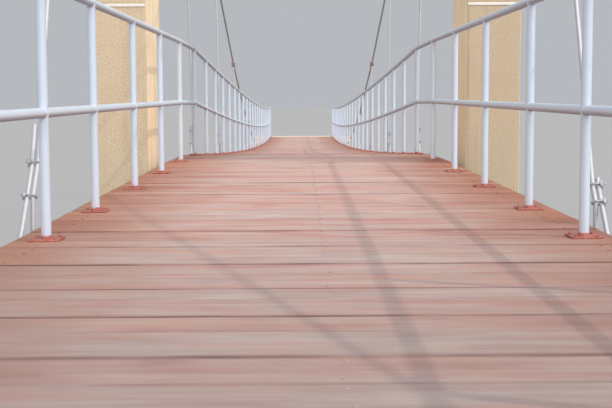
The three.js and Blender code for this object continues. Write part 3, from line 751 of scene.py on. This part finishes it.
# Red deck paint on the steel base plates: brighter than on the boards, scuffed pale at random
red_plate = two_tone("red_plate_paint", 38, 4, ((0.42, "#A85D4D"), (0.68, "#BF7C6B")), Roughness=0.5)
for side, sign in SIDES:
    for index, (first, last) in enumerate(zip(DECK_JOINTS, DECK_JOINTS[1:]), 1):
        is_last = last == DECK_JOINTS[-1]
        stations = [n + POST_SHIFT if n <= SHIFTED_POSTS_END else n for n in range(first, last + is_last)]
        start = stations[0] if first == DECK_JOINTS[0] else first - 0.5
        end = last if is_last else last - 0.5
        rail_stations = [start, *(n for n in stations if start < n < end), end]
        x = sign * POST_X
        feet = [(x, along(n), *walkway(along(n))) for n in stations]
        rails = [
            [(x, along(n), walkway(along(n))[0] + height) for n in rail_stations]
            for height in (TOP_RAIL, MID_RAIL)]
        weld_height = PLATE_THICKNESS + WELD_LIFT
        foot_beads = [bead((x, y, z + weld_height), PIPE_RADIUS, "Z") for _, y, z, _ in feet]
        beads, bolt_places, bolt_turns = [], [], []
        for _, y, z, slope in feet:
            beads.append(bead((x, y, z + TOP_RAIL - BEAD_DROP), BEAD_RADIUS, "Z"))
            for way in (-1, 1):
                reach = way * BEAD_REACH
                beads.append(bead((x, y + reach, z + MID_RAIL + slope * reach), BEAD_RADIUS, "Y"))
            for dx in (-PLATE_BOLT, PLATE_BOLT):
                for dy in (-PLATE_BOLT, PLATE_BOLT):
                    bolt_places.append((x + dx, y + dy, z + slope * dy + PLATE_THICKNESS))
                    bolt_turns.append((math.atan(slope), 0.0, BOLT_SPREAD * dx / PLATE_BOLT + dy))
        plate_places = [(x, y, z + PLATE_THICKNESS / 2) for _, y, z, _ in feet]
        plate_turns = [(math.atan(slope), 0.0, 0.0) for *_, slope in feet]
        parts = [
            grown("posts", points_mesh([foot[:3] for foot in feet], turn=UPRIGHT), round_bars,
                  sides=PIPE_SIDES, radius=PIPE_RADIUS, height=TOP_RAIL - POST_SHORTER, first_mark=POST_MARK,
                  finish=enamel),
            grown("rails", lines_mesh(rails), bars, sides=PIPE_SIDES, radius=PIPE_RADIUS, finish=enamel),
            grown("welds", lines_mesh(beads), bars, sides=6, radius=WELD_RADIUS, finish=enamel),
            grown("foot_welds", lines_mesh(foot_beads), bars, sides=6, radius=WELD_RADIUS, finish=red_plate),
            grown("plates", points_mesh(plate_places, turn=plate_turns, grow=FULL_SIZE), planks,
                  length=PLATE_SIZE, width=PLATE_SIZE, thickness=PLATE_THICKNESS, edge=0.0015, steps=2,
                  finish=red_plate),
            grown("washers", points_mesh(bolt_places, turn=bolt_turns), round_bars,
                  sides=14, radius=0.0085, height=0.0012, finish=red_plate),
            grown("bolts", points_mesh(bolt_places, turn=bolt_turns), prisms,
                  sides=6, radius=0.006, height=0.005, finish=red_plate),
        ]
        railing = joined(f"pipe_railing_{side}_{index}", parts)
        hand_over(railing, "white_paint", f"railing_{side}_{index}")

# Main cables: six-strand wire rope 30 mm thick, in one length from the near anchor over the pylon's saddle
# to the far anchor, greased and grown pale with dust.

CABLE_RADIUS = 0.015
CABLE_LAY = 0.2
HANGER_STATIONS = (7, 10, 13, 16, 19)
SEAT_STATION = 22
SADDLE_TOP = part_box("main_cable_left")[1].z - CABLE_RADIUS
SADDLE_RADIUS = 0.45
ARC_PARTS = 12
PYLON_STATION = 5
PYLON_X = 1.405
CABLE_X_AT_DECK = 1.155
CABLE_PLAN_POWER = 12
CABLE_LOW_HEIGHT = 1.541
CABLE_LOW_STATION = 25.5
CABLE_RISE_PER_BAY = 0.0126
NEAR_EYE = (PYLON_X, along(-3.55), walkway(along(-3))[0] + 0.086)
FAR_EYE = (CABLE_X_AT_DECK, along(27) - 0.486, walkway(along(27))[0] - 0.25)
SOCKET_LENGTH = 0.24
SOCKET_LAP = 0.002


def galvanised_rope(name, bright, dull, groove):
    """Galvanised steel rope: round strands that are pale on top and darker in the hollows between them."""
    material, add, place = new_material(name, Roughness=0.5, Metallic=0.2)
    cloud = cloudy(add, place, 5, 5)
    zinc = add("ShaderNodeValToRGB", (cloud,), stops=((0, bright), (1, dull)))
    hollow = add("ShaderNodeAttribute", out="Fac", attribute_name="hollow")
    colour = laid_over(add, zinc, groove, hollow, 0.45, 1.0, 0.85)
    return finish(material, colour, cloudy(add, place, 420, 2), 0.5, 0.0006)


def rope_tree():
    """Along each line of the mesh a rope whose six strands wind round it."""
    tree, add, given = new_tree("ropes", radius=0.01, lay=0.06, step=0.006, points=12)
    path = add("GeometryNodeMeshToCurve", {"Mesh": given["source"]})
    fine = add("GeometryNodeResampleCurve", {"Curve": path, "Length": given["step"]}, mode="LENGTH")
    run = add("GeometryNodeSplineParameter", out="Length")
    turns = add("ShaderNodeMath", (run, given["lay"]), operation="DIVIDE")
    tilt = add("ShaderNodeMath", (turns, 2 * math.pi), operation="MULTIPLY")
    wound = add("GeometryNodeSetCurveTilt", {"Curve": fine, "Tilt": tilt})
    ring = add("GeometryNodeCurvePrimitiveCircle", {
        "Resolution": given["points"], "Radius": given["radius"]})
    index = add("GeometryNodeInputIndex")
    odd = add("ShaderNodeMath", (index, 2.0), operation="MODULO")
    shrink = add("ShaderNodeMath", (odd, -0.2, 1.0), operation="MULTIPLY_ADD")
    place = add("GeometryNodeInputPosition")
    drawn = add("ShaderNodeVectorMath", {0: place, "Scale": shrink}, operation="SCALE")
    star = add("GeometryNodeSetPosition", {"Geometry": marked(add, ring, "hollow", odd), "Position": drawn})
    rope = add("GeometryNodeCurveToMesh", {"Curve": wound, "Profile Curve": star, "Fill Caps": True})
    return end_tree(tree, add, given, rope, True)


def cable_point(sign, station):
    """Where the hanging cable passes a station."""
    share = max(0, (SEAT_STATION - station) / (SEAT_STATION - PYLON_STATION))
    x = CABLE_X_AT_DECK + (PYLON_X - CABLE_X_AT_DECK) * share ** CABLE_PLAN_POWER
    z = CABLE_LOW_HEIGHT + CABLE_RISE_PER_BAY * (CABLE_LOW_STATION - station) ** 2
    return Vector((sign * x, along(station), z))


def cable_route(sign):
    """The cable's points, from the near socket in an arc over the saddle and down the span to the far one."""
    near = Vector((sign * NEAR_EYE[0], *NEAR_EYE[1:]))
    far = Vector((sign * FAR_EYE[0], *FAR_EYE[1:]))
    near_angle = math.atan2(SADDLE_TOP - near.z, PYLON_Y - near.y)
    far_angle = math.atan2(SADDLE_TOP - cable_point(1, 7).z, along(7) - PYLON_Y)
    arc = []
    for i in range(ARC_PARTS + 1):
        turn = -near_angle + (near_angle + far_angle) * i / ARC_PARTS
        arc.append(Vector((
            sign * PYLON_X, PYLON_Y + SADDLE_RADIUS * math.sin(turn),
            SADDLE_TOP - SADDLE_RADIUS + SADDLE_RADIUS * math.cos(turn))))
    hung = [cable_point(sign, station) for station in (*HANGER_STATIONS, SEAT_STATION)]
    past_socket = SOCKET_LENGTH - SOCKET_LAP
    start = near + (arc[0] - near).normalized() * past_socket
    end = far + (hung[-1] - far).normalized() * past_socket
    return [start, *arc, *hung, end]


ropes = rope_tree()
cable_rope = galvanised_rope("dusty_cable_steel", "#CFCCC5", "#B1ADA4", "#5A554E")
for side, sign in SIDES:
    cable = grown(
        f"cable_rope_{side}", lines_mesh([cable_route(sign)]), ropes,
        radius=CABLE_RADIUS, lay=CABLE_LAY, step=0.012, points=12, finish=cable_rope)
    hand_over(cable, "wire_rope", f"main_cable_{side}")

# Saddles, anchors and cable seats: cut from plate, welded, and painted grey over zinc. The anchors' sockets
# are round, and every plate is held by bolts with nuts.

FITTING_EDGE = 0.0025
SOCKET_SHARE = 0.995
PIN_HALF = 0.045
NUT_TURN = (0.0, 0.0, 0.3)
# Base plates: the thickness, and half the rectangle between the bolts
BASE_PLATES = {"near_anchor": (0.016, 0.075, 0.12), "cable_saddle": (0.020, 0.12, 0.18)}


def grey_zinc_paint():
    """Grey paint over zinc on the steel fittings: satin, with brown weeping from the joints."""
    material, add, place = new_material("grey_painted_steel", Roughness=0.45, Metallic=0.5)
    cloud = cloudy(add, place, 9, 5)
    grey = add("ShaderNodeValToRGB", (cloud,), stops=((0, "#8C9094"), (1, "#A8ABAD")))
    return finish(material, laid_over(add, grey, "#7E4A30", cloudy(add, place, 32, 5), 0.6, 0.7, 0.8))


zinc_paint = grey_zinc_paint()
for side, sign in SIDES:
    route = cable_route(sign)
    for kind in ("near_anchor", "far_anchor", "cable_saddle", "cable_seat"):
        node = f"{kind}_{side}"
        parts = [clean_copy(f"{node}_body", node, FITTING_EDGE, zinc_paint, 1)]
        if kind in BASE_PLATES:
            thickness, half_x, half_y = BASE_PLATES[kind]
            centre_y = NEAR_EYE[1] if kind == "near_anchor" else PYLON_Y
            spots = [(sign * PYLON_X + dx, centre_y + dy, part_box(node)[0].z + thickness)
                     for dx in (-half_x, half_x) for dy in (-half_y, half_y)]
            parts.append(grown("nuts", points_mesh(spots, turn=NUT_TURN), prisms,
                               sides=6, radius=0.014, height=0.012, finish=zinc_paint))
            parts.append(grown("studs", points_mesh(spots, turn=UPRIGHT), round_bars,
                               sides=12, radius=0.008, height=0.026, finish=zinc_paint))
        if kind.endswith("anchor"):
            x, y, z = NEAR_EYE if kind == "near_anchor" else FAR_EYE
            eye = Vector((sign * x, y, z))
            end = route[0] if kind == "near_anchor" else route[-1]
            parts.append(grown("socket", lines_mesh([[eye, eye + (end - eye) * SOCKET_SHARE]]), bars,
                               sides=20, radius=0.0305, finish=zinc_paint))
            pin = [eye - Vector((PIN_HALF, 0, 0)), eye + Vector((PIN_HALF, 0, 0))]
            parts.append(grown("pin", lines_mesh([pin]), bars, sides=16, radius=0.013, finish=zinc_paint))
        hand_over(joined(f"{node}_steel", parts), "cast_fittings", node)

# Hangers: thinner wire rope, clamped to the main cable, looped round the end of a cross beam and closed
# with wire-rope clips: a U-bolt round both strands, drawn down on a grooved saddle by two nuts.

ROPE_RADIUS = 0.0106
ROPE_LAY = 0.064
HANGER_X = 1.145
NEAR_HANGER_X = 1.155
STRAND_HALF_GAP = 0.0115
NEAR_BEAM_STATION = 1.4
NEAR_TOP_STATION = 3.6
NEAR_LEAN = 0.77
NEAR_SHIFT = 0.046
FRAME_DROP = 0.1903
FIT = 0.0003
BEAM_WIDTH = 0.19
BEAM_DEPTH = 0.14
LOOP_CORNER = 0.0055
LOOP_BEND = 0.008
ROPE_BEND = 0.004
HIGH_CLIPS = (0.25, 0.12)
LOW_CLIPS = (0.08,)
NEAR_CLIPS = {"left": (0.256, 0.126), "right": (0.157, 0.090)}
NEAR_TAILS = {"left": 0.19, "right": 0.035}
SHORT_TAIL = 0.04
U_BOLT_RADIUS = 0.004
U_BOLT_REACH = 0.036
U_BOLT_PARTS = 8
CLIP_NUT_OUT = 0.0262
CLIP_SADDLE_OUT = 0.021
CHEEK_OUT = 0.0155
CLAMP_NUT_OUT = 0.024
SHANK_HALF = 0.034
# Clamp bolts: their places along the cable and over its middle
CLAMP_BOLTS = ((-0.022, -0.021), (0.022, -0.021), (0.0, 0.023))


def eased(route, cut):
    """The same route with its sharp corners rounded off by a short arc."""
    path = [route[0]]
    for before, corner, after in zip(route, route[1:], route[2:]):
        back, on = before - corner, after - corner
        reach = min(cut, back.length * 0.45, on.length * 0.45)
        a, b = corner + back.normalized() * reach, corner + on.normalized() * reach
        path += [a.lerp(corner, t).lerp(corner.lerp(b, t), t) for t in (0, 0.25, 0.5, 0.75, 1)]
    return path + [route[-1]]


def beside_beam(station, forward, up, x):
    """A place beside a cross beam, measured along and up in the beam's own tilted section."""
    y = along(station)
    top, slope = walkway(y - 0.001)
    angle = math.atan(slope)
    z = top - FRAME_DROP - FIT - BEAM_DEPTH / 2 / math.cos(angle)
    return Vector((
        x, y + forward * math.cos(angle) - up * math.sin(angle),
        z + forward * math.sin(angle) + up * math.cos(angle)))


def hanger_route(sign, station, top, middle_x, clip_heights, tail, lean, shift):
    """The rope from the cable down past the far face of the beam, round it, and up again to its tail."""
    deck = walkway(along(station))[0]
    half = BEAM_WIDTH / 2 + ROPE_RADIUS + FIT
    low = BEAM_DEPTH / 2 + ROPE_RADIUS + FIT
    bend = BEAM_DEPTH / 2 + LOOP_BEND
    inner, outer = sign * (middle_x - STRAND_HALF_GAP), sign * (middle_x + STRAND_HALF_GAP)

    def at(height, x):
        return Vector((x, along(station) + shift + lean * height, deck + height))

    highest, lowest = max(clip_heights), min(clip_heights)
    above = (top - at(highest, inner)).normalized() * tail
    loop = (
        (half, bend, inner), (half, LOOP_CORNER - low, inner), (half - LOOP_CORNER, -low, inner),
        (LOOP_CORNER - half, -low, outer), (-half, LOOP_CORNER - low, outer), (-half, bend, outer))
    route = [
        top, at(highest, inner), at(lowest, inner),
        *(beside_beam(station, *place) for place in loop),
        at(lowest, outer), at(highest, outer), at(highest, outer) + above,
    ]
    return route, [at(height, sign * middle_x) for height in clip_heights]


def clip_parts(places, up, sign):
    """U-bolts, saddles and nuts of the clips at these places, whose ropes run along this direction."""
    bows, nut_places, saddle_places = [], [], []
    tilt = math.atan2(-up.y, up.z)
    side_way = Vector((0, math.cos(tilt), math.sin(tilt)))
    out = Vector((sign, 0, 0))
    gap = ROPE_RADIUS + U_BOLT_RADIUS + FIT
    for place in places:
        bow = [place + out * U_BOLT_REACH + side_way * gap]
        for i in range(U_BOLT_PARTS + 1):
            turn = math.pi * i / U_BOLT_PARTS
            inward = STRAND_HALF_GAP + gap * math.sin(turn)
            bow.append(place - out * inward + side_way * gap * math.cos(turn))
        bow.append(place + out * U_BOLT_REACH - side_way * gap)
        bows.append(bow)
        nut_places += [tuple(place + out * CLIP_NUT_OUT + side_way * (gap * way)) for way in (-1, 1)]
        saddle_places.append(tuple(place + out * CLIP_SADDLE_OUT))
    return [
        grown("bows", lines_mesh(bows), bars, sides=10, radius=U_BOLT_RADIUS, finish=clip_zinc),
        grown("clip_nuts", points_mesh(nut_places, turn=(tilt, sign * math.pi / 2, 0.0)), prisms,
              sides=6, radius=0.0078, height=0.0068, finish=clip_zinc),
        grown("clip_saddles", points_mesh(saddle_places, turn=(tilt, 0.0, 0.0), grow=FULL_SIZE), planks,
              length=0.0105, width=0.042, thickness=0.022, edge=0.003, steps=2, finish=clip_zinc),
    ]


def clamp_parts(top, direction):
    """Two cheeks that grip the main cable, drawn together by two bolts under it and one over it."""
    tilt = math.atan2(direction.z, direction.y)
    way = Vector((0, math.cos(tilt), math.sin(tilt)))
    up = Vector((0, -math.sin(tilt), math.cos(tilt)))
    cheeks = [tuple(top + Vector((dx, 0, 0))) for dx in (-CHEEK_OUT, CHEEK_OUT)]
    heads, head_turns, shanks = [], [], []
    for dy, dz in CLAMP_BOLTS:
        spot = top + way * dy + up * dz
        shanks.append([spot - Vector((SHANK_HALF, 0, 0)), spot + Vector((SHANK_HALF, 0, 0))])
        for turn in (-1, 1):
            heads.append(tuple(spot + Vector((turn * CLAMP_NUT_OUT, 0, 0))))
            head_turns.append((tilt, turn * math.pi / 2, 0.0))
    return [
        grown("cheeks", points_mesh(cheeks, turn=(tilt, 0.0, 0.0), grow=FULL_SIZE), planks,
              length=0.017, width=0.066, thickness=0.062, edge=0.006, steps=2, finish=clamp_rust),
        grown("clamp_nuts", points_mesh(heads, turn=head_turns), prisms,
              sides=6, radius=0.0085, height=0.007, finish=clamp_rust),
        grown("clamp_shanks", lines_mesh(shanks), bars, sides=10, radius=0.0045, finish=clamp_rust),
    ]


hanger_rope = galvanised_rope("pale_hanger_rope", "#E2E3E6", "#CFD1D4", "#B2B4B8")
# Zinc on the forged clips: dull grey with pale dust
clip_zinc = two_tone(
    "dull_zinc_clips", 90, 4, ((0.4, "#A3A4A6"), (0.66, "#D2D3D4")), Roughness=0.5, Metallic=0.2)
# Old red primer and rust on the clamps that grip the main cable
clamp_rust = two_tone("rusty_primed_clamp", 45, 5, ((0.36, "#8E4A38"), (0.66, "#B9AFA6")), Roughness=0.7)
for side, sign in SIDES:
    back_start, back_end = cable_route(sign)[:2]
    share = (along(NEAR_TOP_STATION) - back_start.y) / (back_end.y - back_start.y)
    hung = [(NEAR_BEAM_STATION, back_start.lerp(back_end, share), NEAR_HANGER_X, NEAR_CLIPS[side],
             NEAR_TAILS[side], NEAR_LEAN, NEAR_SHIFT, back_end - back_start)]
    for station in HANGER_STATIONS:
        top = cable_point(sign, station)
        is_high = top.z - walkway(along(station))[0] > 2 * HIGH_CLIPS[0]
        run = cable_point(sign, station + 1) - cable_point(sign, station - 1)
        hung.append((station, top, HANGER_X, HIGH_CLIPS if is_high else LOW_CLIPS, SHORT_TAIL, 0, 0, run))
    for number, (station, top, middle_x, clips, tail, lean, shift, run) in enumerate(hung, 1):
        rope_route, clip_places = hanger_route(sign, station, top, middle_x, clips, tail, lean, shift)
        parts = [grown(
            "rope", lines_mesh([eased(rope_route, ROPE_BEND)]), ropes,
            radius=ROPE_RADIUS, lay=ROPE_LAY, step=0.006, points=12, finish=hanger_rope)]
        parts += clip_parts(clip_places, Vector((0, lean, 1)).normalized(), sign)
        parts += clamp_parts(top, run)
        hand_over(joined(f"rope_hanger_{side}_{number}", parts), "wire_rope", f"hanger_{side}_{number}")
